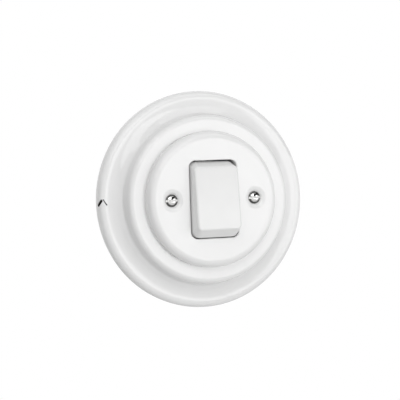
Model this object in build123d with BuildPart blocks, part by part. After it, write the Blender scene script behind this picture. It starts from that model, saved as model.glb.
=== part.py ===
from build123d import *
import os
from math import atan2, cos, degrees, hypot, radians, sin

# Round flush-mounted switch in glazed porcelain, of the intermediate kind: two changeover poles whose
# outputs are crossed inside. Sizes are in millimetres. X runs to the right, Z up and Y into the wall,
# and the wall face is Y = 0. Heights are measured out of the wall, so height h lies at Y = -h.

# Outer frame: a porcelain ring that steps up from a low rim to a raised inner ring.
frame_diameter = 100.0
frame_height = 13.8
frame_opening = 56.0
frame_wall = 4.2
rim_height = 5.4
rim_round = 3.3
rim_wall = 3.4
foot_width = 4.6
foot_chamfer = 0.6
ring_diameter = 78.0
ring_round = 2.3
ring_straight = 0.4
mark_height = 3.2
mark_reach = 1.9
mark_wide_stroke = 0.9
mark_thin_stroke = 0.45
mark_depth = 1.3

# Cover plate: the porcelain disc on the ring, with a spigot that centres the frame.
plate_diameter = 62.0
plate_rise = 6.0
plate_round = 3.5
plate_wall = 4.0
plate_edge_chamfer = 0.3
spigot_clearance = 0.4
spigot_depth = 2.0
spigot_wall = 3.0
opening_width = 23.0
opening_length = 35.4
opening_corner = 3.1
opening_edge_round = 0.4

# Cover screws, slotted raised countersunk heads in dished seats.
screw_spacing = 40.0
screw_thread = 3.0
screw_head = 5.8
screw_head_edge = 0.15
screw_dome = 1.1
screw_slot_width = 1.0
screw_slot_depth = 1.0
screw_grip = 7.0
dish_diameter = 10.4
dish_depth = 0.7
seat_diameter = 6.9
screw_hole = 3.6
boss_diameter = 9.0
thread_clearance = 0.05

# Screwdriver slots of the other flat-topped screws.
driver_slot_width = 0.8
driver_slot_depth = 0.8

# Rocker: moulded cap on a carrier that turns on a steel pin. The cap stands a little low in its opening.
rocker_tilt = 5.5
rocker_gap = 0.45
rocker_end_gap = 0.45
rocker_drop = 0.2
rocker_rise = 5.4
rocker_shoulder = 1.6
rocker_front_length = 28.4
rocker_front_width = 20.9
rocker_corner = 3.5
rocker_front_corner = 2.0
rocker_edge_round = 1.1
rocker_skirt = 2.0
rocker_wall = 1.5
pivot_depth = 2.4
pin_diameter = 2.0
pin_clearance = 0.05
hub_diameter = 4.6
hub_overhang = 0.4
beam_front = 3.4
beam_thickness = 1.8
beam_width = 13.8
beam_length = 24.0
peg_offset = 8.5
peg_width = 5.0
peg_thickness = 2.4
peg_height = 2.2
peg_clearance = 0.05
socket_wall = 1.4

# Plungers and their springs, one for each pole.
pole_pitch = 9.2
tube_diameter = 5.0
tube_reach = 8.2
tube_bore = 3.7
tube_end_wall = 0.8
plunger_diameter = 3.5
plunger_reach = 12.5
plunger_length = 7.5
plunger_cup = 2.7
plunger_floor = 2.6
plunger_clearance = 0.1
spring_diameter = 2.4
spring_wire = 0.4
spring_turns = 6
spring_end_gap = 0.02

# Bearing cover with the two ears of the rocker pin. It stands on the tower of the switch base.
pivot_stand = 9.9
ear_gap = 0.2
ear_thickness = 1.6
ear_width = 5.2
bearing_plate = 2.0
bearing_screw_thread = 2.5
bearing_screw_head = 4.4
bearing_screw_length = 8.0
tube_swing_gap = 0.6

# Contact bridges: seesaw strips on pins in the common brackets.
bridge_ratio = 1.5
bridge_stand = 2.0
bridge_width = 4.4
bridge_overhang = 1.6
sheet = 0.8
lug_length = 3.0
lug_drop = 1.0
bridge_pin_diameter = 1.2
bracket_gap = 0.25
bracket_length = 4.0
bracket_top = 1.1
contact_arm = 9.0
contact_diameter = 3.0
contact_height = 1.0
contact_gap = 0.15
contact_dome = 6.0

# Switch base: a moulded tower through the support plate and a body inside the wall box.
tower_side_wall = 3.0
tower_end_wall = 4.2
chamber_side_gap = 0.75
chamber_end_gap = 0.45
chamber_depth = 4.2
chamber_floor = 3.0
barrier_thickness = 1.2
barrier_drop = 0.5
base_width = 44.0
base_length = 44.0
base_corner = 7.0
base_depth = 13.0
slot_gap = 0.1

# Cross links under the chamber floor, and the pads that carry the fixed contacts.
pad_width = 3.6
link_width = 3.0
link_spacing = 2.2
recess_end_gap = 0.4

# Terminals in side notches of the base, wired from behind and clamped from the side.
terminal_x = 17.5
output_terminal_z = -9.5
terminal_width = 6.0
terminal_length = 7.0
terminal_depth = 7.0
wire_hole = 3.2
terminal_screw_thread = 2.6
terminal_screw_head = 4.4
terminal_screw_tip_gap = 0.2
terminal_head_height = 1.2
terminal_head_gap = 0.25
terminal_slot_width = 0.8
terminal_slot_depth = 0.7

# Back cover.
back_cover_thickness = 2.0
back_cover_margin = 0.6
back_cover_corner = 1.5
back_screw_x = 11.0
back_screw_z = 17.5
back_screw_thread = 2.5
back_screw_head = 4.4
back_screw_length = 9.0

# Support plate, posts and the screws that hold the base.
plate_steel = 1.2
support_diameter = 71.0
support_gap = 0.2
box_screw_spacing = 60.0
box_slot_width = 4.2
box_slot_length = 6.4
post_diameter = 6.0
post_gap = 0.3
post_rivet = 4.0
post_hole_depth = 8.6
support_screw_z = 19.2
support_screw_thread = 3.0
support_screw_head = 5.6
support_screw_height = 1.7
support_screw_length = 8.0

# Positions that follow from the sizes above.
frame_radius = frame_diameter / 2
ring_radius = ring_diameter / 2
opening_radius = frame_opening / 2
crest_radius = frame_radius - rim_round
cove_top = frame_height - ring_round - ring_straight
foot_inner = frame_radius - foot_chamfer - foot_width
plate_front = frame_height + plate_rise
plate_radius = plate_diameter / 2
plate_back = plate_front - plate_wall
spigot_radius = opening_radius - spigot_clearance
spigot_end = frame_height - spigot_depth
post_front = spigot_end - post_gap
pivot_height = plate_front - pivot_depth
pole_x = pole_pitch / 2
pin_radius = pin_diameter / 2
hub_half = pole_x + tube_diameter / 2 + hub_overhang
ear_inner = hub_half + ear_gap
tower_height = pivot_height - pivot_stand
bearing_front = tower_height + bearing_plate
bridge_tilt = bridge_ratio * rocker_tilt
bridge_pin_height = pivot_height - plunger_reach - plunger_clearance - bridge_stand
moving_face = bridge_stand - sheet - contact_height
contact_seat = contact_arm * cos(radians(bridge_tilt)) + moving_face * sin(radians(bridge_tilt))
closed_height = (
    bridge_pin_height
    + moving_face * cos(radians(bridge_tilt))
    - contact_arm * sin(radians(bridge_tilt))
)
fixed_tip = closed_height - contact_gap
pad_front = fixed_tip - contact_height
pad_back = pad_front - sheet
bracket_outer = bridge_width / 2 + bracket_gap + sheet
chamber_half_x = pole_x + bracket_outer + chamber_side_gap
leg_inner = contact_seat + pad_width / 2
leg_outer = leg_inner + sheet
leg_middle = leg_inner + sheet / 2
chamber_half_z = leg_outer + chamber_end_gap
tower_half_x = chamber_half_x + tower_side_wall
tower_half_z = chamber_half_z + tower_end_wall
bearing_screw_z = chamber_half_z + tower_end_wall / 2
floor_height = -chamber_depth
recess_front = floor_height - chamber_floor
recess_half_z = leg_middle + link_width / 2 + recess_end_gap
base_back = -base_depth
terminal_inner = terminal_x - terminal_width / 2
notch_inner = terminal_inner - slot_gap
terminal_outer = terminal_x + terminal_width / 2
terminal_middle = floor_height - terminal_depth / 2
terminal_places = [
    (-terminal_x, 0),
    (terminal_x, 0),
    (-terminal_x, output_terminal_z),
    (terminal_x, output_terminal_z),
]
back_screw_places = [
    (-back_screw_x, -back_screw_z),
    (back_screw_x, -back_screw_z),
    (-back_screw_x, back_screw_z),
    (back_screw_x, back_screw_z),
]
sides = (("left", -1), ("right", 1))

# The rocker and the bridges are drawn in their own tilted frames: the upper end of the rocker is
# pressed in, so the lower ends of the bridges are pressed in too.
rocker_front = Plane.XZ.offset(pivot_height).rotated((-rocker_tilt, 0, 0))
rocker_side = Plane(origin=rocker_front.origin, x_dir=rocker_front.y_dir, z_dir=rocker_front.x_dir)
bridge_front = Plane.XZ.offset(bridge_pin_height).rotated((bridge_tilt, 0, 0))
bridge_side = Plane(origin=bridge_front.origin, x_dir=bridge_front.y_dir, z_dir=bridge_front.x_dir)

os.makedirs("parts", exist_ok=True)


def at(radius, height):
    """A point of a turned profile: distance from the axis and height out of the wall."""
    return (radius, -height)


def keep(piece, name):
    """Label a finished piece and write it as its own file."""
    piece.part.label = name
    export_step(piece.part, f"parts/{name}.step")


def upright(x, z):
    """The plane through a screw axis at (x, z), for profiles turned about that axis."""
    return Plane(origin=(x, 0, z), x_dir=(1, 0, 0), z_dir=(0, 0, 1))


def screw_axis(x, z):
    """The axis out of the wall through (x, z)."""
    return Axis((x, 0, z), (0, 1, 0))


# Outer frame. The rim and the inner ring are rounded, with a wide cove between them; the back is hollow
# and a foot ring rests on the wall.
with BuildPart() as outer_frame:
    with BuildSketch(Plane.XY):
        with BuildLine():
            Polyline(
                at(foot_inner, 0),
                at(frame_radius - foot_chamfer, 0),
                at(frame_radius, foot_chamfer),
                at(frame_radius, rim_height - rim_round),
            )
            CenterArc(at(crest_radius, rim_height - rim_round), rim_round, 0, -90)
            EllipticalCenterArc(
                at(crest_radius, cove_top), crest_radius - ring_radius, cove_top - rim_height, 90, arc_size=90
            )
            Line(at(ring_radius, cove_top), at(ring_radius, frame_height - ring_round))
            CenterArc(at(ring_radius - ring_round, frame_height - ring_round), ring_round, 0, -90)
            Polyline(
                at(ring_radius - ring_round, frame_height),
                at(opening_radius, frame_height),
                at(opening_radius, frame_height - frame_wall),
                at(ring_radius - frame_wall, frame_height - frame_wall),
                at(ring_radius - frame_wall, rim_height - rim_wall),
                at(foot_inner, rim_height - rim_wall),
                at(foot_inner, 0),
            )
        make_face()
    revolve(axis=Axis.Y)
    # An upturned V is cut into the rounding of the rim at the left, one stroke broader than the other.
    mark_plane = Plane(
        origin=(
            -(crest_radius + rim_round * cos(radians(45))),
            -(rim_height - rim_round + rim_round * sin(radians(45))),
            0,
        ),
        x_dir=(1, -1, 0),
        z_dir=(-1, -1, 0),
    )
    stroke_length = hypot(mark_reach, mark_height)
    stroke_angle = degrees(atan2(mark_height, mark_reach))
    with BuildSketch(mark_plane.offset(-mark_depth)):
        with Locations((-mark_reach / 2 - mark_thin_stroke, 0)):
            Rectangle(stroke_length, mark_wide_stroke, rotation=stroke_angle)
        with Locations((mark_reach / 2 + mark_thin_stroke, 0)):
            Rectangle(stroke_length, mark_thin_stroke, rotation=-stroke_angle)
    extrude(amount=2 * mark_depth, mode=Mode.SUBTRACT)
keep(outer_frame, "outer_frame")

# Cover plate: a rounded disc with a centring spigot, screw bosses and the rocker opening.
with BuildPart() as cover_plate:
    with BuildSketch(Plane.XY):
        with BuildLine():
            Line(at(0, plate_front), at(plate_radius - plate_round, plate_front))
            CenterArc(at(plate_radius - plate_round, plate_front - plate_round), plate_round, -90, 90)
            Polyline(
                at(plate_radius, plate_front - plate_round),
                at(plate_radius, frame_height + plate_edge_chamfer),
                at(plate_radius - plate_edge_chamfer, frame_height),
                at(spigot_radius, frame_height),
                at(spigot_radius, spigot_end),
                at(spigot_radius - spigot_wall, spigot_end),
                at(spigot_radius - spigot_wall, plate_back),
                at(0, plate_back),
                at(0, plate_front),
            )
        make_face()
    revolve(axis=Axis.Y)
    with BuildSketch(Plane.XZ.offset(spigot_end)):
        with Locations((-screw_spacing / 2, 0), (screw_spacing / 2, 0)):
            Circle(boss_diameter / 2)
    extrude(amount=plate_back - spigot_end)
    with BuildSketch(Plane.XZ.offset(plate_back)):
        RectangleRounded(opening_width, opening_length, opening_corner)
    extrude(amount=plate_wall, mode=Mode.SUBTRACT)
    front_face = cover_plate.faces().sort_by(Axis.Y)[0]
    fillet(front_face.inner_wires()[0].edges(), opening_edge_round)
    for sign in (-1, 1):
        with BuildSketch(upright(sign * screw_spacing / 2, 0)):
            with BuildLine():
                Line(at(0, plate_front), at(dish_diameter / 2, plate_front))
                RadiusArc(
                    at(dish_diameter / 2, plate_front),
                    at(seat_diameter / 2, plate_front - dish_depth),
                    dish_diameter / 2,
                )
                Polyline(
                    at(seat_diameter / 2, plate_front - dish_depth),
                    at(screw_hole / 2, plate_front - dish_depth - (seat_diameter - screw_hole) / 2),
                    at(screw_hole / 2, spigot_end),
                    at(0, spigot_end),
                    at(0, plate_front),
                )
            make_face()
        revolve(axis=screw_axis(sign * screw_spacing / 2, 0), mode=Mode.SUBTRACT)
keep(cover_plate, "cover_plate")

# Cover screws, seated in the countersinks and screwed into the posts.
head_rim = plate_front - dish_depth - (seat_diameter - screw_head) / 2
shank_radius = screw_thread / 2 - thread_clearance
screw_end = post_front - screw_grip
with BuildPart() as cover_screws:
    for sign in (-1, 1):
        with BuildSketch(upright(sign * screw_spacing / 2, 0)):
            with BuildLine():
                RadiusArc(
                    at(0, head_rim + screw_head_edge + screw_dome),
                    at(screw_head / 2, head_rim + screw_head_edge),
                    -(screw_head**2 / 4 + screw_dome**2) / (2 * screw_dome),
                )
                Polyline(
                    at(screw_head / 2, head_rim + screw_head_edge),
                    at(screw_head / 2, head_rim),
                    at(shank_radius, head_rim - screw_head / 2 + shank_radius),
                    at(shank_radius, screw_end),
                    at(0, screw_end),
                    at(0, head_rim + screw_head_edge + screw_dome),
                )
            make_face()
        revolve(axis=screw_axis(sign * screw_spacing / 2, 0))
    with BuildSketch(Plane.XZ.offset(head_rim + screw_head_edge + screw_dome - screw_slot_depth)):
        with Locations((-screw_spacing / 2, 0), (screw_spacing / 2, 0)):
            Rectangle(screw_head + 1, screw_slot_width, rotation=2)
    extrude(amount=screw_dome + screw_slot_depth, mode=Mode.SUBTRACT)
keep(cover_screws, "cover_screws")


def rocker_form(inset):
    """The rocker's outer form drawn in by an even distance: straight skirt and drafted front."""
    half_width = opening_width / 2 - rocker_gap - inset
    half_length = opening_length / 2 - rocker_end_gap - inset
    corner = max(rocker_corner - inset, 0.5)
    front_corner = max(rocker_front_corner - inset, 0.5)
    front = pivot_depth + rocker_rise - inset
    with BuildPart() as form:
        with BuildSketch(rocker_front.offset(-rocker_skirt)):
            with Locations((0, -rocker_drop)):
                RectangleRounded(2 * half_width, 2 * half_length, corner)
        extrude(amount=rocker_skirt + rocker_shoulder)
        with BuildSketch(rocker_front.offset(rocker_shoulder)):
            with Locations((0, -rocker_drop)):
                RectangleRounded(2 * half_width, 2 * half_length, corner)
        with BuildSketch(rocker_front.offset(front)):
            with Locations((0, -rocker_drop)):
                RectangleRounded(
                    rocker_front_width - 2 * inset, rocker_front_length - 2 * inset, front_corner
                )
        loft()
    return form.part


# Rocker cap: a hollow moulding with two sockets inside that grip the carrier's pegs.
roof = pivot_depth + rocker_rise - rocker_wall
with BuildPart() as rocker_cap:
    add(rocker_form(0))
    front_edges = rocker_cap.faces().sort_by(Axis(rocker_front.origin, rocker_front.z_dir))[-1].edges()
    fillet(front_edges, rocker_edge_round)
    add(rocker_form(rocker_wall), mode=Mode.SUBTRACT)
    with BuildSketch(rocker_front.offset(beam_front)):
        with Locations((0, -peg_offset), (0, peg_offset)):
            Rectangle(peg_width + 2 * socket_wall, peg_thickness + 2 * socket_wall)
    extrude(amount=roof - beam_front)
    with BuildSketch(rocker_front.offset(beam_front)):
        with Locations((0, -peg_offset), (0, peg_offset)):
            Rectangle(peg_width + 2 * peg_clearance, peg_thickness + 2 * peg_clearance)
    extrude(amount=peg_height + peg_clearance, mode=Mode.SUBTRACT)
keep(rocker_cap, "rocker_cap")

# Rocker carrier: a beam with two pegs, a hub on the pivot pin and two tubes for the plungers.
bore_end = pin_radius + pin_clearance + tube_end_wall
with BuildPart() as rocker_carrier:
    with BuildSketch(rocker_front.offset(beam_front - beam_thickness)):
        Rectangle(beam_width, beam_length)
    extrude(amount=beam_thickness)
    with BuildSketch(rocker_side):
        Circle(hub_diameter / 2)
    extrude(amount=hub_half, both=True)
    with BuildSketch(rocker_front.offset(-tube_reach)):
        with Locations((-pole_x, 0), (pole_x, 0)):
            Circle(tube_diameter / 2)
    extrude(amount=tube_reach + beam_front)
    with BuildSketch(rocker_front.offset(beam_front)):
        with Locations((0, -peg_offset), (0, peg_offset)):
            Rectangle(peg_width, peg_thickness)
    extrude(amount=peg_height)
    with BuildSketch(rocker_front.offset(-tube_reach)):
        with Locations((-pole_x, 0), (pole_x, 0)):
            Circle(tube_bore / 2)
    extrude(amount=tube_reach - bore_end, mode=Mode.SUBTRACT)
    with BuildSketch(rocker_side):
        Circle(pin_radius + pin_clearance)
    extrude(amount=hub_half + 1, both=True, mode=Mode.SUBTRACT)
keep(rocker_carrier, "rocker_carrier")

# Rocker pin: a plain steel pin between the ears of the bearing cover.
with BuildPart() as rocker_pin:
    with BuildSketch(Plane.YZ.offset(-(ear_inner + ear_thickness))):
        with Locations((-pivot_height, 0)):
            Circle(pin_radius)
    extrude(amount=2 * (ear_inner + ear_thickness))
keep(rocker_pin, "rocker_pin")

# Plungers: round-nosed cups that slide in the carrier's tubes and press on the bridges.
plunger_radius = plunger_diameter / 2
plunger_open = plunger_reach - plunger_length
for side, sign in sides:
    with BuildPart() as plunger:
        with BuildSketch(Plane(
            origin=rocker_front.origin + rocker_front.x_dir * sign * pole_x,
            x_dir=rocker_front.x_dir,
            z_dir=-rocker_front.y_dir,
        )):
            with BuildLine():
                Polyline(
                    at(plunger_cup / 2, plunger_reach - plunger_floor),
                    at(plunger_cup / 2, plunger_open),
                    at(plunger_radius, plunger_open),
                    at(plunger_radius, plunger_reach - plunger_radius),
                )
                CenterArc(at(0, plunger_reach - plunger_radius), plunger_radius, 0, -90)
                Polyline(
                    at(0, plunger_reach),
                    at(0, plunger_reach - plunger_floor),
                    at(plunger_cup / 2, plunger_reach - plunger_floor),
                )
            make_face()
        revolve(axis=Axis(
            rocker_front.origin + rocker_front.x_dir * sign * pole_x, rocker_front.z_dir
        ))
    keep(plunger, f"plunger_{side}")

# Plunger springs, between the closed end of each tube and the floor of each plunger.
spring_start = bore_end + spring_wire / 2 + spring_end_gap
spring_stop = plunger_reach - plunger_floor - spring_wire / 2 - spring_end_gap
for side, sign in sides:
    with BuildPart() as spring:
        with BuildLine() as coil:
            Helix(
                pitch=(spring_stop - spring_start) / spring_turns,
                height=spring_stop - spring_start,
                radius=(spring_diameter - spring_wire) / 2,
                center=(
                    rocker_front.origin
                    + rocker_front.x_dir * sign * pole_x
                    - rocker_front.z_dir * spring_start
                ),
                direction=-rocker_front.z_dir,
            )
        with BuildSketch(Plane(origin=coil.line @ 0, z_dir=coil.line % 0)):
            Circle(spring_wire / 2)
        sweep(path=coil.line, is_frenet=True)
    keep(spring, f"plunger_spring_{side}")

# Bearing cover: closes the contact chamber and carries the rocker pin in two ears.
tube_window = tube_diameter / 2 + tube_reach * sin(radians(rocker_tilt)) + tube_swing_gap
bearing_sink = (bearing_screw_head - bearing_screw_thread) / 2
with BuildPart() as bearing_cover:
    with BuildSketch(Plane.XZ.offset(tower_height)):
        Rectangle(2 * tower_half_x, 2 * tower_half_z)
        Rectangle(2 * hub_half, 2 * tube_window, mode=Mode.SUBTRACT)
    extrude(amount=bearing_plate)
    for sign in (-1, 1):
        with BuildSketch(Plane.YZ.offset(min(sign * ear_inner, sign * (ear_inner + ear_thickness)))):
            with Locations((-pivot_height, 0)):
                Circle(ear_width / 2)
            with Locations((-(bearing_front + pivot_height) / 2, 0)):
                Rectangle(pivot_height - bearing_front, ear_width)
        extrude(amount=ear_thickness)
    with BuildSketch(Plane.YZ.offset(-(ear_inner + ear_thickness + 1))):
        with Locations((-pivot_height, 0)):
            Circle(pin_radius)
    extrude(amount=2 * (ear_inner + ear_thickness + 1), mode=Mode.SUBTRACT)
    for sign in (-1, 1):
        with BuildSketch(upright(0, sign * bearing_screw_z)):
            Polygon(
                at(0, bearing_front),
                at(bearing_screw_head / 2, bearing_front),
                at(bearing_screw_thread / 2, bearing_front - bearing_sink),
                at(bearing_screw_thread / 2, tower_height),
                at(0, tower_height),
                align=None,
            )
        revolve(axis=screw_axis(0, sign * bearing_screw_z), mode=Mode.SUBTRACT)
keep(bearing_cover, "bearing_cover")

# Bearing screws: countersunk, flush with the bearing cover.
bearing_shank = bearing_screw_thread / 2 - thread_clearance
with BuildPart() as bearing_screws:
    for sign in (-1, 1):
        with BuildSketch(upright(0, sign * bearing_screw_z)):
            Polygon(
                at(0, bearing_front),
                at(bearing_screw_head / 2, bearing_front),
                at(bearing_shank, bearing_front - bearing_screw_head / 2 + bearing_shank),
                at(bearing_shank, bearing_front - bearing_screw_length),
                at(0, bearing_front - bearing_screw_length),
                align=None,
            )
        revolve(axis=screw_axis(0, sign * bearing_screw_z))
    with BuildSketch(Plane.XZ.offset(bearing_front - driver_slot_depth)):
        with Locations((0, -bearing_screw_z), (0, bearing_screw_z)):
            Rectangle(bearing_screw_head + 1, driver_slot_width)
    extrude(amount=2 * driver_slot_depth, mode=Mode.SUBTRACT)
keep(bearing_screws, "bearing_screws")

# Contact bridges: brass strips with two folded lugs that hang on a pin; silver tips behind both ends.
bridge_half = contact_arm + bridge_overhang
for side, sign in sides:
    with BuildPart() as bridge:
        with BuildSketch(bridge_front.offset(bridge_stand - sheet)):
            with Locations((sign * pole_x, 0)):
                RectangleRounded(bridge_width, 2 * bridge_half, bridge_width / 4)
        extrude(amount=sheet)
        for edge in (-1, 1):
            lug_start = sign * pole_x + min(edge * bridge_width / 2, edge * (bridge_width / 2 - sheet))
            with BuildSketch(bridge_side.offset(lug_start)):
                with Locations((0, (bridge_stand - lug_drop) / 2)):
                    Rectangle(lug_length, bridge_stand + lug_drop)
                Circle(bridge_pin_diameter / 2 + pin_clearance, mode=Mode.SUBTRACT)
            extrude(amount=sheet)
    keep(bridge, f"contact_bridge_{side}")
    with BuildPart() as moving_contacts:
        with BuildSketch(bridge_front.offset(moving_face)):
            with Locations((sign * pole_x, -contact_arm), (sign * pole_x, contact_arm)):
                Circle(contact_diameter / 2)
        extrude(amount=contact_height)
    keep(moving_contacts, f"moving_contacts_{side}")

# Common brackets: a foot on the chamber floor with two ears for the bridge pin and a tail that runs
# out to its terminal.
for side, sign in sides:
    with BuildPart() as bracket:
        with BuildSketch(Plane.XZ.offset(floor_height)):
            with Locations((sign * (pole_x - bracket_outer + terminal_outer - slot_gap) / 2, 0)):
                Rectangle(terminal_outer - slot_gap - pole_x + bracket_outer, bracket_length)
        extrude(amount=sheet)
        for edge in (-1, 1):
            ear_start = sign * pole_x + min(edge * bracket_outer, edge * (bracket_outer - sheet))
            with BuildSketch(Plane.YZ.offset(ear_start)):
                with Locations((-(floor_height + bridge_pin_height + bracket_top) / 2, 0)):
                    Rectangle(bridge_pin_height + bracket_top - floor_height, bracket_length)
                with Locations((-bridge_pin_height, 0)):
                    Circle(bridge_pin_diameter / 2, mode=Mode.SUBTRACT)
            extrude(amount=sheet)
    keep(bracket, f"common_bracket_{side}")

# Bridge pins: steel pins pressed into the bracket ears.
with BuildPart() as bridge_pins:
    for sign in (-1, 1):
        with BuildSketch(Plane.YZ.offset(sign * pole_x - bracket_outer)):
            with Locations((-bridge_pin_height, 0)):
                Circle(bridge_pin_diameter / 2)
        extrude(amount=2 * bracket_outer)
keep(bridge_pins, "bridge_pins")


def cross_link(sign, layer):
    """A bent brass strip from one upper fixed contact across to the lower one of the other pole."""
    run = hypot(2 * pole_x, 2 * leg_middle)
    lean = degrees(atan2(2 * leg_middle, -sign * 2 * pole_x))
    with BuildPart() as link:
        with BuildSketch(Plane.XZ.offset(layer)):
            SlotCenterToCenter(run, link_width, rotation=lean)
            with Locations((sign * (pole_x + terminal_inner) / 2, -leg_middle)):
                Rectangle(terminal_inner - pole_x, link_width)
        extrude(amount=sheet)
        for x, up in ((-sign * pole_x, 1), (sign * pole_x, -1)):
            with BuildSketch(Plane.XZ.offset(layer)):
                with Locations((x, up * leg_middle)):
                    Rectangle(pad_width, sheet)
            extrude(amount=pad_front - layer)
            with BuildSketch(Plane.XZ.offset(pad_back)):
                with Locations((x, up * (contact_seat + sheet / 2))):
                    Rectangle(pad_width, pad_width + sheet)
            extrude(amount=sheet)
    return link


# Cross links: the front one lies against the chamber floor from behind, the rear one passes clear of
# it. They join diagonally opposite contacts and lead to the two output terminals.
front_layer = recess_front - sheet
rear_layer = front_layer - link_spacing - sheet
cross_link_front = cross_link(1, front_layer)
keep(cross_link_front, "cross_link_front")
cross_link_rear = cross_link(-1, rear_layer)
keep(cross_link_rear, "cross_link_rear")

# Fixed contacts: domed silver tips on the pads of the cross links.
shoulder = fixed_tip - contact_dome + (contact_dome**2 - contact_diameter**2 / 4) ** 0.5
with BuildPart() as fixed_contacts:
    for sign in (-1, 1):
        for up in (-1, 1):
            with BuildSketch(upright(sign * pole_x, up * contact_seat)):
                with BuildLine():
                    RadiusArc(at(0, fixed_tip), at(contact_diameter / 2, shoulder), -contact_dome)
                    Polyline(
                        at(contact_diameter / 2, shoulder),
                        at(contact_diameter / 2, pad_front),
                        at(0, pad_front),
                        at(0, fixed_tip),
                    )
                make_face()
            revolve(axis=screw_axis(sign * pole_x, up * contact_seat))
keep(fixed_contacts, "fixed_contacts")

# Switch base: one moulding with the contact chamber in front, and the recess of the cross links and
# the terminal notches behind.
contact_places = [(x, z) for x in (-pole_x, pole_x) for z in (-contact_seat, contact_seat)]
leg_places = [(x, z) for x in (-pole_x, pole_x) for z in (-leg_middle, leg_middle)]
with BuildPart() as switch_base:
    with BuildSketch(Plane.XZ.offset(base_back)) as base_outline:
        Rectangle(base_width, base_length)
        chamfer(base_outline.vertices(), base_corner)
    extrude(amount=base_depth)
    with BuildSketch(Plane.XZ):
        Rectangle(2 * tower_half_x, 2 * tower_half_z)
    extrude(amount=tower_height)
    # The chamber, with a barrier between the poles and pillars under the contact pads.
    with BuildSketch(Plane.XZ.offset(floor_height)):
        Rectangle(2 * chamber_half_x, 2 * chamber_half_z)
    extrude(amount=tower_height - floor_height, mode=Mode.SUBTRACT)
    with BuildSketch(Plane.XZ.offset(floor_height)):
        Rectangle(barrier_thickness, 2 * chamber_half_z)
    extrude(amount=tower_height - barrier_drop - floor_height)
    with BuildSketch(Plane.XZ.offset(floor_height)):
        with Locations(*contact_places):
            Rectangle(pad_width, pad_width - 2 * slot_gap)
    extrude(amount=pad_back - floor_height)
    # The recess of the cross links, open to the back, and the slots for their legs.
    with BuildSketch(Plane.XZ.offset(base_back)):
        Rectangle(2 * chamber_half_x, 2 * recess_half_z)
    extrude(amount=recess_front - base_back, mode=Mode.SUBTRACT)
    with BuildSketch(Plane.XZ.offset(recess_front)):
        with Locations(*leg_places):
            Rectangle(pad_width + 2 * slot_gap, sheet + 2 * slot_gap)
    extrude(amount=chamber_floor, mode=Mode.SUBTRACT)
    # The terminal notches, open to the side and to the back, and the ways in for the tails.
    with BuildSketch(Plane.XZ.offset(base_back)):
        with Locations(*[(x / terminal_x * base_width / 2, z) for x, z in terminal_places]):
            Rectangle(base_width - 2 * notch_inner, terminal_length + 2 * slot_gap)
    extrude(amount=floor_height - base_back, mode=Mode.SUBTRACT)
    for sign in (-1, 1):
        with BuildSketch(Plane.XZ.offset(floor_height)):
            with Locations((sign * (chamber_half_x - 1 + terminal_outer) / 2, 0)):
                Rectangle(terminal_outer - chamber_half_x + 1, bracket_length + 2 * slot_gap)
        extrude(amount=sheet + slot_gap, mode=Mode.SUBTRACT)
    for sign, layer in ((1, front_layer), (-1, rear_layer)):
        with BuildSketch(Plane.XZ.offset(base_back)):
            with Locations((sign * (chamber_half_x - 1 + terminal_inner) / 2, -leg_middle)):
                Rectangle(terminal_inner - chamber_half_x + 1, link_width + 2 * slot_gap)
        extrude(amount=layer + sheet - base_back, mode=Mode.SUBTRACT)
    # Screw holes for the support plate, the bearing cover and the back cover.
    with BuildSketch(Plane.XZ.offset(plate_steel - support_screw_length - 1)):
        with Locations((0, -support_screw_z), (0, support_screw_z)):
            Circle(support_screw_thread / 2)
    extrude(amount=support_screw_length + 1 - plate_steel, mode=Mode.SUBTRACT)
    with BuildSketch(Plane.XZ.offset(bearing_front - bearing_screw_length - 1)):
        with Locations((0, -bearing_screw_z), (0, bearing_screw_z)):
            Circle(bearing_screw_thread / 2)
    extrude(amount=bearing_screw_length + 1 - bearing_plate, mode=Mode.SUBTRACT)
    with BuildSketch(Plane.XZ.offset(base_back)):
        with Locations(*back_screw_places):
            Circle(back_screw_thread / 2)
    extrude(amount=back_screw_length + 1 - back_cover_thickness, mode=Mode.SUBTRACT)
keep(switch_base, "switch_base")

# Terminal blocks: brass, with a wire hole from behind and a clamping screw from the side.
with BuildPart() as terminal_blocks:
    with BuildSketch(Plane.XZ.offset(floor_height - terminal_depth)):
        with Locations(*terminal_places):
            Rectangle(terminal_width, terminal_length)
    extrude(amount=terminal_depth)
    with BuildSketch(Plane.XZ.offset(floor_height - terminal_depth)):
        with Locations(*terminal_places):
            Circle(wire_hole / 2)
    extrude(amount=terminal_depth, mode=Mode.SUBTRACT)
    for x, z in terminal_places:
        with BuildSketch(Plane.YZ.offset(min(x, x / abs(x) * terminal_outer))):
            with Locations((-terminal_middle, z)):
                Circle(terminal_screw_thread / 2)
        extrude(amount=terminal_width / 2, mode=Mode.SUBTRACT)
keep(terminal_blocks, "terminal_blocks")

# Terminal screws, backed out so that the wire holes stand open.
screw_tip = terminal_x + wire_hole / 2 + terminal_screw_tip_gap
head_start = terminal_outer + terminal_head_gap
head_end = head_start + terminal_head_height
with BuildPart() as terminal_screws:
    for x, z in terminal_places:
        hand = x / abs(x)
        with BuildSketch(Plane.YZ.offset(min(hand * screw_tip, hand * head_start))):
            with Locations((-terminal_middle, z)):
                Circle(terminal_screw_thread / 2 - thread_clearance)
        extrude(amount=head_start - screw_tip)
        with BuildSketch(Plane.YZ.offset(min(hand * head_start, hand * head_end))):
            with Locations((-terminal_middle, z)):
                Circle(terminal_screw_head / 2)
        extrude(amount=terminal_head_height)
        slot_floor = head_end - terminal_slot_depth
        with BuildSketch(Plane.YZ.offset(min(hand * slot_floor, hand * head_end))):
            with Locations((-terminal_middle, z)):
                Rectangle(terminal_screw_head + 1, terminal_slot_width)
        extrude(amount=terminal_slot_depth, mode=Mode.SUBTRACT)
keep(terminal_screws, "terminal_screws")

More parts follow.
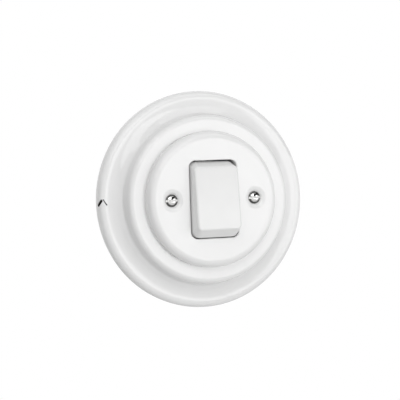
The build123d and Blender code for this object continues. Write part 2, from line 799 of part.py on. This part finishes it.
# Back cover: a moulded lid over the cross links, between the terminals.
cover_back = base_back - back_cover_thickness
back_sink = (back_screw_head - back_screw_thread) / 2
with BuildPart() as back_cover:
    with BuildSketch(Plane.XZ.offset(cover_back)):
        RectangleRounded(
            2 * (notch_inner - back_cover_margin), base_length - 2 * back_cover_margin, back_cover_corner
        )
    extrude(amount=back_cover_thickness)
    for x, z in back_screw_places:
        with BuildSketch(upright(x, z)):
            Polygon(
                at(0, base_back),
                at(back_screw_thread / 2, base_back),
                at(back_screw_thread / 2, cover_back + back_sink),
                at(back_screw_head / 2, cover_back),
                at(0, cover_back),
                align=None,
            )
        revolve(axis=screw_axis(x, z), mode=Mode.SUBTRACT)
keep(back_cover, "back_cover")

# Back cover screws: countersunk, flush with the lid.
back_shank = back_screw_thread / 2 - thread_clearance
with BuildPart() as back_cover_screws:
    for x, z in back_screw_places:
        with BuildSketch(upright(x, z)):
            Polygon(
                at(0, cover_back),
                at(back_screw_head / 2, cover_back),
                at(back_shank, cover_back + back_screw_head / 2 - back_shank),
                at(back_shank, cover_back + back_screw_length),
                at(0, cover_back + back_screw_length),
                align=None,
            )
        revolve(axis=screw_axis(x, z))
    with BuildSketch(Plane.XZ.offset(cover_back)):
        with Locations(*back_screw_places):
            Rectangle(back_screw_head + 1, driver_slot_width)
    extrude(amount=driver_slot_depth, mode=Mode.SUBTRACT)
keep(back_cover_screws, "back_cover_screws")

# Support plate: zinc-plated steel behind the frame, with slots for the screws of the wall box.
with BuildPart() as support_plate:
    with BuildSketch(Plane.XZ):
        Circle(support_diameter / 2)
        Rectangle(2 * (tower_half_x + support_gap), 2 * (tower_half_z + support_gap), mode=Mode.SUBTRACT)
        with Locations((-box_screw_spacing / 2, 0), (box_screw_spacing / 2, 0)):
            SlotOverall(box_slot_length, box_slot_width, mode=Mode.SUBTRACT)
        with Locations((0, -box_screw_spacing / 2), (0, box_screw_spacing / 2)):
            SlotOverall(box_slot_length, box_slot_width, rotation=90, mode=Mode.SUBTRACT)
        with Locations((-screw_spacing / 2, 0), (screw_spacing / 2, 0)):
            Circle(post_rivet / 2, mode=Mode.SUBTRACT)
        with Locations((0, -support_screw_z), (0, support_screw_z)):
            Circle(support_screw_thread / 2, mode=Mode.SUBTRACT)
    extrude(amount=plate_steel)
keep(support_plate, "support_plate")

# Screw posts: threaded posts riveted into the support plate, one under each cover screw.
with BuildPart() as screw_posts:
    for sign in (-1, 1):
        with BuildSketch(upright(sign * screw_spacing / 2, 0)):
            Polygon(
                at(0, 0),
                at(post_rivet / 2, 0),
                at(post_rivet / 2, plate_steel),
                at(post_diameter / 2, plate_steel),
                at(post_diameter / 2, post_front),
                at(screw_thread / 2, post_front),
                at(screw_thread / 2, post_front - post_hole_depth),
                at(0, post_front - post_hole_depth),
                align=None,
            )
        revolve(axis=screw_axis(sign * screw_spacing / 2, 0))
keep(screw_posts, "screw_posts")

# Support screws: slotted pan heads that hold the base behind the support plate.
support_shank = support_screw_thread / 2 - thread_clearance
support_head_front = plate_steel + support_screw_height
with BuildPart() as support_screws:
    for sign in (-1, 1):
        with BuildSketch(upright(0, sign * support_screw_z)):
            Polygon(
                at(0, support_head_front),
                at(support_screw_head / 2, support_head_front),
                at(support_screw_head / 2, plate_steel),
                at(support_shank, plate_steel),
                at(support_shank, plate_steel - support_screw_length),
                at(0, plate_steel - support_screw_length),
                align=None,
            )
        revolve(axis=screw_axis(0, sign * support_screw_z))
    with BuildSketch(Plane.XZ.offset(support_head_front - driver_slot_depth)):
        with Locations((0, -support_screw_z), (0, support_screw_z)):
            Rectangle(support_screw_head + 1, driver_slot_width)
    extrude(amount=2 * driver_slot_depth, mode=Mode.SUBTRACT)
keep(support_screws, "support_screws")
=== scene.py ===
import bpy
import numpy as np
from mathutils import Matrix, Vector


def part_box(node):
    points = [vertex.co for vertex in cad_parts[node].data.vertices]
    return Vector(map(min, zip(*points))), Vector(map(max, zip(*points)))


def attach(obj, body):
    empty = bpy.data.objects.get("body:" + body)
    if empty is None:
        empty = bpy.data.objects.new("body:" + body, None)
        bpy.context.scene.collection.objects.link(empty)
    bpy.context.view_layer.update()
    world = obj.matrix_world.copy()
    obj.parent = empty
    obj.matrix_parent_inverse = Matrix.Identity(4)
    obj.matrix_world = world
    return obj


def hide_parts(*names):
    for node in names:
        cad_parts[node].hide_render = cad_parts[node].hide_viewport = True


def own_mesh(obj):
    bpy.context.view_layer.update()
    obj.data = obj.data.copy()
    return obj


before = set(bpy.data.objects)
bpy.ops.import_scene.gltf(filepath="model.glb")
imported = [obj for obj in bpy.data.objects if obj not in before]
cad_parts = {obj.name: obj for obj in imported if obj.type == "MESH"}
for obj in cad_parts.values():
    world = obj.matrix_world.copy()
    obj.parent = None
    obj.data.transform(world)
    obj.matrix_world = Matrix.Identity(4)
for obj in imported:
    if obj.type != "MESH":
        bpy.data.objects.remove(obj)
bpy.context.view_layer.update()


# Support plate, screw posts and the screws of the insert. The plate is punched from steel sheet and
# zinc plated, the posts are turned and riveted into it, and slotted steel screws hold the rest together.
mm = 0.001
noise_low, noise_high = 0.3, 0.7


def finish_of(name):
    """A new material and its shader, with nothing linked yet."""
    finish = bpy.data.materials.new(name)
    finish.use_nodes = True
    return finish, finish.node_tree, finish.node_tree.nodes["Principled BSDF"]


def grain(tree, size, detail=3.0, stretch=(1, 1, 1)):
    """Noise on the piece's own coordinates: lumps of about the given size, finer along a stretched axis."""
    coords = tree.nodes.new("ShaderNodeTexCoord")
    mapping = tree.nodes.new("ShaderNodeMapping")
    mapping.inputs["Scale"].default_value = stretch
    noise = tree.nodes.new("ShaderNodeTexNoise")
    noise.inputs["Scale"].default_value = 1 / size
    noise.inputs["Detail"].default_value = detail
    tree.links.new(coords.outputs["Object"], mapping.inputs["Vector"])
    tree.links.new(mapping.outputs["Vector"], noise.inputs["Vector"])
    return noise.outputs["Fac"]


def spread(tree, noise, low, high):
    """The middle of a noise spread onto the range from low to high."""
    reach = tree.nodes.new("ShaderNodeMapRange")
    reach.inputs["From Min"].default_value = noise_low
    reach.inputs["From Max"].default_value = noise_high
    reach.inputs["To Min"].default_value = low
    reach.inputs["To Max"].default_value = high
    tree.links.new(noise, reach.inputs["Value"])
    return reach.outputs["Result"]


def tinted(tree, noise, dark, light):
    """A colour that runs from the dark tone to the light one with a noise."""
    ramp = tree.nodes.new("ShaderNodeValToRGB")
    ramp.color_ramp.elements[0].position = noise_low
    ramp.color_ramp.elements[0].color = (*dark, 1)
    ramp.color_ramp.elements[1].position = noise_high
    ramp.color_ramp.elements[1].color = (*light, 1)
    tree.links.new(noise, ramp.inputs["Fac"])
    return ramp.outputs["Color"]


def relief(tree, shader, noise, depth):
    """A noise read as a height of the given depth, felt by the light only."""
    bump = tree.nodes.new("ShaderNodeBump")
    bump.inputs["Strength"].default_value = 1.0
    bump.inputs["Distance"].default_value = depth
    tree.links.new(noise, bump.inputs["Height"])
    tree.links.new(bump.outputs["Normal"], shader.inputs["Normal"])


def metal_finish(name, dark, light, gloss, size, stretch=(1, 1, 1), depth=0.002 * mm):
    """Metal whose tone and gloss wander with a grain that the rolling or turning left."""
    finish, tree, shader = finish_of(name)
    shader.inputs["Metallic"].default_value = 1.0
    lumps = grain(tree, size, 4.0, stretch)
    tree.links.new(tinted(tree, lumps, dark, light), shader.inputs["Base Color"])
    tree.links.new(spread(tree, lumps, *gloss), shader.inputs["Roughness"])
    relief(tree, shader, lumps, depth)
    return finish


def dress(finish, *names):
    """CAD nodes take a finish on all their faces."""
    for name in names:
        for material_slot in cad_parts[name].material_slots:
            material_slot.material = finish


zinc = metal_finish("zinc_plating", (0.48, 0.49, 0.50), (0.66, 0.67, 0.68), (0.28, 0.42), 1.2 * mm)
screw_steel = metal_finish("screw_steel", (0.42, 0.42, 0.42), (0.58, 0.58, 0.57), (0.22, 0.34), 0.5 * mm)
dress(zinc, "support_plate", "screw_posts")
dress(screw_steel, "support_screws", "bearing_screws", "back_cover_screws", "terminal_screws")


# Switch base, bearing cover and back cover: thermoset mouldings in a warm ivory, slightly speckled by
# their filler and matt inside.
def moulded_finish(name, dark, light, gloss, size, depth):
    """Moulded plastic: a faint clouding of the colour and the fine skin of the mould."""
    finish, tree, shader = finish_of(name)
    shader.inputs["IOR"].default_value = 1.5
    tree.links.new(tinted(tree, grain(tree, size, 5.0), dark, light), shader.inputs["Base Color"])
    skin_grain = grain(tree, size / 6)
    tree.links.new(spread(tree, skin_grain, *gloss), shader.inputs["Roughness"])
    relief(tree, shader, skin_grain, depth)
    return finish


base_moulding = moulded_finish(
    "base_moulding", (0.72, 0.68, 0.59), (0.78, 0.745, 0.66), (0.36, 0.48), 1.0 * mm, 0.004 * mm
)
dress(base_moulding, "switch_base", "bearing_cover", "back_cover")

# Contact parts: brass strip for the bridges, brackets and cross links, brass blocks for the terminals,
# silver tips riveted on, and hardened steel pins.
brass = metal_finish(
    "brass_strip", (0.62, 0.44, 0.17), (0.78, 0.58, 0.27), (0.24, 0.38), 0.9 * mm, (1, 1, 6)
)
silver = metal_finish("silver_tip", (0.74, 0.73, 0.70), (0.88, 0.87, 0.85), (0.20, 0.32), 0.4 * mm)
pin_steel = metal_finish(
    "pin_steel", (0.44, 0.44, 0.45), (0.56, 0.56, 0.57), (0.14, 0.22), 0.3 * mm, (8, 1, 1)
)
dress(brass, "contact_bridge_left", "contact_bridge_right", "common_bracket_left", "common_bracket_right")
dress(brass, "cross_link_front", "cross_link_rear", "terminal_blocks")
dress(silver, "moving_contacts_left", "moving_contacts_right", "fixed_contacts")
dress(pin_steel, "bridge_pins", "rocker_pin")

# Rocker carrier and plungers: moulded in a pale grey nylon. The cap clips on the carrier, which turns on
# its pin, and the plungers slide in the carrier's two tubes.
carrier_moulding = moulded_finish(
    "carrier_moulding", (0.56, 0.56, 0.54), (0.64, 0.64, 0.62), (0.34, 0.46), 1.4 * mm, 0.004 * mm
)
dress(carrier_moulding, "rocker_carrier", "plunger_left", "plunger_right")

# Plunger springs: six turns of bright steel wire each, between the closed end of a carrier tube and the
# floor of its plunger. On the switch the plunger shortens them as it slides in; here each coil keeps one
# length and rides with the rocker.
pivot_height = 17.4 * mm
pole_offset = 4.6 * mm
rest_tilt = np.radians(5.5)
coil_radius = 1.0 * mm
wire_radius = 0.2 * mm
coil_turns = 6
turn_steps = 24
wire_sides = 10
coil_start = 2.07 * mm
coil_stop = 9.68 * mm
sharp_edge = np.radians(40)
inwards = np.array([0, np.cos(rest_tilt), -np.sin(rest_tilt)])
sideways = np.array([1.0, 0, 0])
upwards = np.cross(sideways, inwards)


def skin(name, grid, poles=None):
    """A closed mesh over a grid of points. Each row is a ring, faces with four sides join each row to
    the next, and the last row joins the first unless two poles close the ends with fans."""
    rows, columns = grid.shape[:2]
    index = np.arange(rows * columns).reshape(rows, columns)
    beside = np.roll(index, -1, axis=1)
    quads = np.stack([index, beside, np.roll(beside, -1, axis=0), np.roll(index, -1, axis=0)], axis=-1)
    points = grid.reshape(-1, 3)
    faces = quads.reshape(-1, 4).tolist()
    if poles is not None:
        first = np.full(columns, rows * columns)
        faces = quads[:-1].reshape(-1, 4).tolist()
        faces += np.stack([first, beside[0], index[0]], axis=-1).tolist()
        faces += np.stack([first + 1, index[-1], beside[-1]], axis=-1).tolist()
        points = np.concatenate([points, poles])
    mesh = bpy.data.meshes.new(name)
    mesh.from_pydata(points.tolist(), [], faces)
    mesh.shade_smooth()
    mesh.set_sharp_from_angle(angle=sharp_edge)
    piece = bpy.data.objects.new(name, mesh)
    bpy.context.scene.collection.objects.link(piece)
    return piece


def coil(name, foot):
    """A wire wound on a helix: its middle goes round the plunger's axis at the coil's radius, and along it
    in proportion to the turn, and each ring of the skin lies square to the wire."""
    turn = np.linspace(0, 2 * np.pi * coil_turns, turn_steps * coil_turns + 1)[:, None]
    pitch = (coil_stop - coil_start) / (2 * np.pi * coil_turns)
    outwards = np.cos(turn) * sideways + np.sin(turn) * upwards
    middle = foot + inwards * (coil_start + pitch * turn) + coil_radius * outwards
    along = coil_radius * (np.cos(turn) * upwards - np.sin(turn) * sideways) + pitch * inwards
    beside = np.cross(along / np.linalg.norm(along, axis=-1, keepdims=True), outwards)
    round_wire = np.linspace(0, 2 * np.pi, wire_sides, endpoint=False)[:, None]
    ring = np.cos(round_wire) * outwards[:, None] + np.sin(round_wire) * beside[:, None]
    return skin(name, middle[:, None] + wire_radius * ring, middle[[0, -1]])


spring_wire = metal_finish("spring_wire", (0.50, 0.50, 0.51), (0.64, 0.64, 0.65), (0.16, 0.26), 0.3 * mm)
for side, offset in (("left", -pole_offset), ("right", pole_offset)):
    foot = np.array([offset, -pivot_height, 0])
    spring = coil(f"spring_coil_{side}", foot)
    spring.data.materials.append(spring_wire)
    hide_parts(f"plunger_spring_{side}")
    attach(spring, "rocker")
    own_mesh(spring)

# Outer frame: one ring of pressed porcelain under a thick clear glaze. The rim rounds up from the wall, a
# wide cove climbs to the inner ring, and an upturned V is cut into the rim at the left. Its profile, from
# arcs that run into each other, is turned about the frame's axis.
rim_height = 5.4 * mm
rim_round = 3.3 * mm
cove_radius = 10.4 * mm
cove_slope = np.radians(32)
ring_flat = 36.0 * mm
ring_round = 2.6 * mm
ring_slope = np.radians(78)
ring_foot = 2.0 * mm
inner_radius = 28.0 * mm
seat_width = 4.0 * mm
frame_wall = 4.2 * mm
rim_wall = 3.4 * mm
foot_width = 4.6 * mm
foot_chamfer = 0.6 * mm
rim_steps, cove_steps, foot_steps, ring_steps = 52, 30, 14, 24
wide_stroke = ((-1.20 * mm, -0.95 * mm), (0.40 * mm, 1.00 * mm), 1.2 * mm)
thin_stroke = ((1.25 * mm, 1.55 * mm), (2.50 * mm, -0.90 * mm), 0.38 * mm)
mark_depth = 0.45 * mm
mark_edge = 0.12 * mm
mark_black = (0.012, 0.011, 0.010, 1)
mark_span, mark_step = 3.2, 0.1
plain_columns = 330


def arc(centre, radius, start, end, count):
    """Points on a circle about a centre, from one angle to another in radians."""
    turn = np.linspace(start, end, count)
    return np.stack([centre[0] + radius * np.cos(turn), centre[1] + radius * np.sin(turn)], axis=-1)


def stroke(across, up, start, end, width):
    """One inside a straight stroke between two points, falling to nought over a soft edge."""
    run = np.subtract(end, start)
    share = np.clip(((across - start[0]) * run[0] + (up - start[1]) * run[1]) / (run @ run), 0, 1)
    away = np.hypot(across - start[0] - share * run[0], up - start[1] - share * run[1])
    fade = np.clip((width / 2 + mark_edge / 2 - away) / mark_edge, 0, 1)
    return fade * fade * (3 - 2 * fade)


frame_low, frame_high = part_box("outer_frame")
frame_radius = frame_high.x
frame_height = -frame_low.y
crest_radius = frame_radius - rim_round
rim_base = rim_height - rim_round
cove_end = (
    crest_radius - cove_radius * np.sin(cove_slope), rim_height + cove_radius * (1 - np.cos(cove_slope))
)
ring_edge = ring_flat + ring_round * np.sin(ring_slope)
edge_height = frame_height - ring_round * (1 - np.cos(ring_slope))
foot_run = ring_foot * (np.sin(ring_slope) - np.sin(cove_slope))
foot_rise = ring_foot * (np.cos(cove_slope) - np.cos(ring_slope))
cove_under = cove_end[1] + (cove_end[0] - ring_edge - foot_run) * np.tan(cove_slope)
wall_run = (edge_height - foot_rise - cove_under) / (np.tan(ring_slope) - np.tan(cove_slope))
foot_centre = (
    ring_edge + wall_run + ring_foot * np.sin(ring_slope),
    edge_height - wall_run * np.tan(ring_slope) + ring_foot * np.cos(ring_slope),
)
foot_inner = frame_radius - foot_chamfer - foot_width
cove_centre = (crest_radius, rim_height + cove_radius)
facing_wall = np.pi * 1.5
profile = np.concatenate([
    [(foot_inner, 0), (frame_radius - foot_chamfer, 0), (frame_radius, foot_chamfer)],
    arc((crest_radius, rim_base), rim_round, 0, np.pi / 2, rim_steps)[:-1],
    arc(cove_centre, cove_radius, facing_wall, facing_wall - cove_slope, cove_steps),
    arc(foot_centre, ring_foot, facing_wall - cove_slope, facing_wall - ring_slope, foot_steps),
    arc((ring_flat, frame_height - ring_round), ring_round, np.pi / 2 - ring_slope, np.pi / 2, ring_steps),
    [(inner_radius + seat_width, frame_height), (inner_radius, frame_height)],
    [(inner_radius, frame_height - frame_wall), (ring_edge - frame_wall, frame_height - frame_wall)],
    [(ring_edge - frame_wall, rim_height - rim_wall), (foot_inner, rim_height - rim_wall)],
])
angle = np.radians(180 + np.concatenate([
    np.arange(-mark_span, mark_span, mark_step),
    np.linspace(mark_span, 360 - mark_span, plain_columns, endpoint=False),
]))
frame_grid = np.stack(np.broadcast_arrays(
    profile[:, :1] * np.cos(angle), -profile[:, 1:], profile[:, :1] * np.sin(angle)
), axis=-1)
diagonal = np.sqrt(0.5)
across = (
    (frame_grid[..., 0] + crest_radius + rim_round * diagonal)
    - (frame_grid[..., 1] + rim_base + rim_round * diagonal)
) * diagonal
up = frame_grid[..., 2]
cut = np.maximum(stroke(across, up, *wide_stroke), stroke(across, up, *thin_stroke))
cut *= frame_grid[..., 0] < -crest_radius + rim_round / 4
frame_grid[..., :2] += (cut * mark_depth * diagonal)[..., None]
outer_frame = skin("outer_frame_glazed", frame_grid)
mark = outer_frame.data.attributes.new("mark", "FLOAT", "POINT")
mark.data.foreach_set("value", cut.ravel())
glaze_dark, glaze_light = (0.852, 0.852, 0.850), (0.868, 0.868, 0.866)
glaze_gloss = (0.02, 0.035)
cloud_size, gloss_size, ripple_size = 16 * mm, 5 * mm, 9 * mm
ripple_depth = 0.001 * mm


def porcelain_glaze(name):
    """Porcelain seen through clear glaze: a faint clouding of the white, a gloss that hardly wanders and
    a slow ripple where the glaze ran."""
    finish, tree, shader = finish_of(name)
    shader.inputs["IOR"].default_value = 1.52
    clouds = tinted(tree, grain(tree, cloud_size, 4.0), glaze_dark, glaze_light)
    tree.links.new(clouds, shader.inputs["Base Color"])
    tree.links.new(spread(tree, grain(tree, gloss_size), *glaze_gloss), shader.inputs["Roughness"])
    relief(tree, shader, grain(tree, ripple_size, 1.0), ripple_depth)
    return finish, tree, shader, clouds


frame_glaze, tree, shader, clouds = porcelain_glaze("frame_glaze")
marked = tree.nodes.new("ShaderNodeAttribute")
marked.attribute_name = "mark"
# the cut's inside is coloured near black, as far as its mark attribute reaches
mark_fill = tree.nodes.new("ShaderNodeMix")
mark_fill.data_type = "RGBA"
mark_fill.inputs["B"].default_value = mark_black
tree.links.new(marked.outputs["Fac"], mark_fill.inputs["Factor"])
tree.links.new(clouds, mark_fill.inputs["A"])
tree.links.new(mark_fill.outputs["Result"], shader.inputs["Base Color"])
outer_frame.data.materials.append(frame_glaze)
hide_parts("outer_frame")
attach(outer_frame, "body")

# Cover plate: a pressed porcelain disc with a rounded edge, glazed like the frame. It has the rocker's
# opening in the middle, and a shallow dish round each of the two countersunk screw holes.
plate_glaze = porcelain_glaze("plate_glaze")[0]
dress(plate_glaze, "cover_plate")

# Rocker cap: a gloss-white moulding, drafted towards the front, whose upper end is pressed in. It clips on
# the rocker carrier behind it.
rocker_white = moulded_finish(
    "rocker_white", (0.828, 0.828, 0.824), (0.846, 0.846, 0.842), (0.10, 0.15), 8 * mm, 0.0004 * mm
)
dress(rocker_white, "rocker_cap")

# Cover screws: nickel-plated brass with raised countersunk heads and a driver's slot. The plating is
# bright where the heads stand proud. The near-black band round their edges is a painted dark reflection,
# and the darker grey in the slots is painted shade.
head_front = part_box("cover_screws")[0].y
head_depth = 1.1 * mm
bright_plating = (0.86, 0.86, 0.85, 1)
# painted dark reflection: a near-black band of colour round the heads' edges stands in for the dark
# surroundings they mirror
painted_dark_reflection = (0.10, 0.10, 0.098, 1)
# painted shade: the slots are coloured a darker grey
slot_painted_shade = (0.40, 0.40, 0.395, 1)
# stops along the head's depth: bright face, then the painted dark reflection band, then the painted shade
# of the slots
bright_until, dark_reflection_from, dark_reflection_until, slot_from = 0.30, 0.50, 0.82, 0.94
tone_wander = 0.04 * mm
nickel, tree, shader = finish_of("nickel_plating")
shader.inputs["Metallic"].default_value = 1.0
lumps = grain(tree, 0.5 * mm, 4.0)
coords = tree.nodes.new("ShaderNodeTexCoord")
axes = tree.nodes.new("ShaderNodeSeparateXYZ")
tree.links.new(coords.outputs["Object"], axes.inputs["Vector"])
wander = tree.nodes.new("ShaderNodeMath")
tree.links.new(axes.outputs["Y"], wander.inputs[0])
tree.links.new(spread(tree, lumps, -tone_wander, tone_wander), wander.inputs[1])
depth = tree.nodes.new("ShaderNodeMapRange")
depth.inputs["From Min"].default_value = head_front
depth.inputs["From Max"].default_value = head_front + head_depth
tree.links.new(wander.outputs["Value"], depth.inputs["Value"])
plating = tree.nodes.new("ShaderNodeValToRGB")
tones = plating.color_ramp.elements
tones[0].position, tones[0].color = bright_until, bright_plating
tones[1].position, tones[1].color = slot_from, slot_painted_shade
# the two inner stops hold the painted dark reflection band round the heads' edges
for place in (dark_reflection_from, dark_reflection_until):
    tones.new(place).color = painted_dark_reflection
tree.links.new(depth.outputs["Result"], plating.inputs["Fac"])
tree.links.new(plating.outputs["Color"], shader.inputs["Base Color"])
tree.links.new(spread(tree, lumps, 0.06, 0.11), shader.inputs["Roughness"])
relief(tree, shader, lumps, 0.002 * mm)
dress(nickel, "cover_screws")

# Studio: a pale floor well below the switch, a large softbox above the camera, two panels at the right,
# two weaker boxes overhead and a white surround. Black flags above and at the left, which no camera sees,
# keep the glaze's shades and the screw heads from washing out.
floor_drop = 0.2
floor_radius = 0.6
lamp_distance = 1.0
flag_distance = 1.4
flag_columns, flag_rows = 45, 15


def disc(name, radius, height, count=96):
    """A flat round sheet: a fan of triangles about its middle."""
    turn = np.linspace(0, 2 * np.pi, count, endpoint=False)
    ring = np.stack([radius * np.cos(turn), radius * np.sin(turn), np.full(count, height)], axis=-1)
    rim = np.arange(count)
    fans = np.stack([np.full(count, count), rim, np.roll(rim, -1)], axis=-1)
    mesh = bpy.data.meshes.new(name)
    mesh.from_pydata(np.concatenate([ring, [(0, 0, height)]]).tolist(), [], fans.tolist())
    sheet = bpy.data.objects.new(name, mesh)
    bpy.context.scene.collection.objects.link(sheet)
    return sheet


floor = disc("floor", floor_radius, -floor_drop)
floor_paper = moulded_finish(
    "floor_paper", (0.86, 0.86, 0.86), (0.89, 0.89, 0.89), (0.7, 0.8), 30 * mm, 0.01 * mm
)
floor.data.materials.append(floor_paper)


def bearing(azimuth, elevation):
    """The unit direction from the switch: azimuth is turned from the front towards the right."""
    side, rise = np.radians([azimuth, elevation])
    return Vector((np.sin(side) * np.cos(rise), -np.cos(side) * np.cos(rise), np.sin(rise)))


def softbox(name, azimuth, elevation, width, height, radiance):
    """A rectangular lamp that faces the switch from a bearing, with the given brightness of its face."""
    lamp = bpy.data.lights.new(name, "AREA")
    lamp.shape = "RECTANGLE"
    lamp.size, lamp.size_y = width, height
    lamp.energy = np.pi * width * height * radiance
    stand = bpy.data.objects.new(name, lamp)
    bpy.context.scene.collection.objects.link(stand)
    out = bearing(azimuth, elevation)
    facing = (-out).to_track_quat("-Z", "Y").to_matrix().to_4x4()
    stand.matrix_world = Matrix.Translation(out * lamp_distance) @ facing


def flag(name, turns, rises):
    """A black card bent round the switch: a patch of a sphere between two bearings across and two up."""
    side, rise = np.radians(np.meshgrid(np.linspace(*turns, flag_columns), np.linspace(*rises, flag_rows)))
    grid = np.stack([np.sin(side) * np.cos(rise), -np.cos(side) * np.cos(rise), np.sin(rise)], axis=-1)
    index = np.arange(side.size).reshape(side.shape)
    corners = (index[:-1, :-1], index[1:, :-1], index[1:, 1:], index[:-1, 1:])
    mesh = bpy.data.meshes.new(name)
    faces = np.stack(corners, axis=-1).reshape(-1, 4)
    mesh.from_pydata((flag_distance * grid).reshape(-1, 3).tolist(), [], faces.tolist())
    mesh.materials.append(flag_felt)
    card = bpy.data.objects.new(name, mesh)
    bpy.context.scene.collection.objects.link(card)
    card.visible_camera = False


flag_felt = moulded_finish(
    "flag_felt", (0.008, 0.008, 0.008), (0.02, 0.02, 0.02), (0.85, 0.95), 4 * mm, 0.05 * mm
)
for name, turns, rises in (
    ("flag_above", (-40, 110), (14, 80)),
    ("flag_left", (-115, -62), (-17, 14)),
):
    flag(name, turns, rises)
for name, azimuth, elevation, width, height, radiance in (
    ("softbox_above", -15.5, 31, 0.74, 0.48, 2.4),
    ("panel_low", 16, -5, 0.42, 0.52, 1.90),
    ("panel_right", 44, 0, 0.46, 0.75, 1.60),
    ("softbox_high", -50, 56, 0.70, 0.50, 0.75),
    ("softbox_top", 25, 60, 0.80, 0.60, 1.00),
):
    softbox(name, azimuth, elevation, width, height, radiance)

surround = 0.58
world = bpy.data.worlds.new("surround")
bpy.context.scene.world = world
world.use_nodes = True
tree = world.node_tree
background = tree.nodes["Background"]
path = tree.nodes.new("ShaderNodeLightPath")
seen = tree.nodes.new("ShaderNodeMath")
seen.operation = "MAXIMUM"
tree.links.new(path.outputs["Is Camera Ray"], seen.inputs[0])
tree.links.new(path.outputs["Is Transmission Ray"], seen.inputs[1])
shown = tree.nodes.new("ShaderNodeMath")
shown.operation = "MAXIMUM"
tree.links.new(seen.outputs["Value"], shown.inputs[0])
tree.links.new(path.outputs["Is Glossy Ray"], shown.inputs[1])
level = tree.nodes.new("ShaderNodeMapRange")
level.inputs["To Min"].default_value = surround
level.inputs["To Max"].default_value = 1.0
tree.links.new(shown.outputs["Value"], level.inputs["Value"])
tree.links.new(level.outputs["Result"], background.inputs["Strength"])
background.inputs["Color"].default_value = (1, 1, 1, 1)

# Camera: stands at the left of the switch, a little above its middle, and leans by two degrees. The lens
# and its shift give the photograph's scale and place the switch's middle in the picture.
view_azimuth = -20.15
view_elevation = 0.85
lean = np.radians(2.05)
view_distance = 0.70
pixels_per_metre = 2152.5
picture = 400
middle = (198.6, 198.54)
sensor = 36.0
camera_data = bpy.data.cameras.new("camera")
camera_data.sensor_width = sensor
camera_data.lens = pixels_per_metre * view_distance * sensor / picture
camera_data.shift_x = ((picture - 1) / 2 - middle[0]) / picture
camera_data.shift_y = -((picture - 1) / 2 - middle[1]) / picture
camera = bpy.data.objects.new("camera", camera_data)
bpy.context.scene.collection.objects.link(camera)
bpy.context.scene.camera = camera
out = bearing(view_azimuth, view_elevation)
level_view = (-out).to_track_quat("-Z", "Y").to_matrix().to_4x4()
camera.matrix_world = Matrix.Translation(out * view_distance) @ level_view @ Matrix.Rotation(-lean, 4, "Z")
bpy.context.scene.view_settings.view_transform = "Standard"
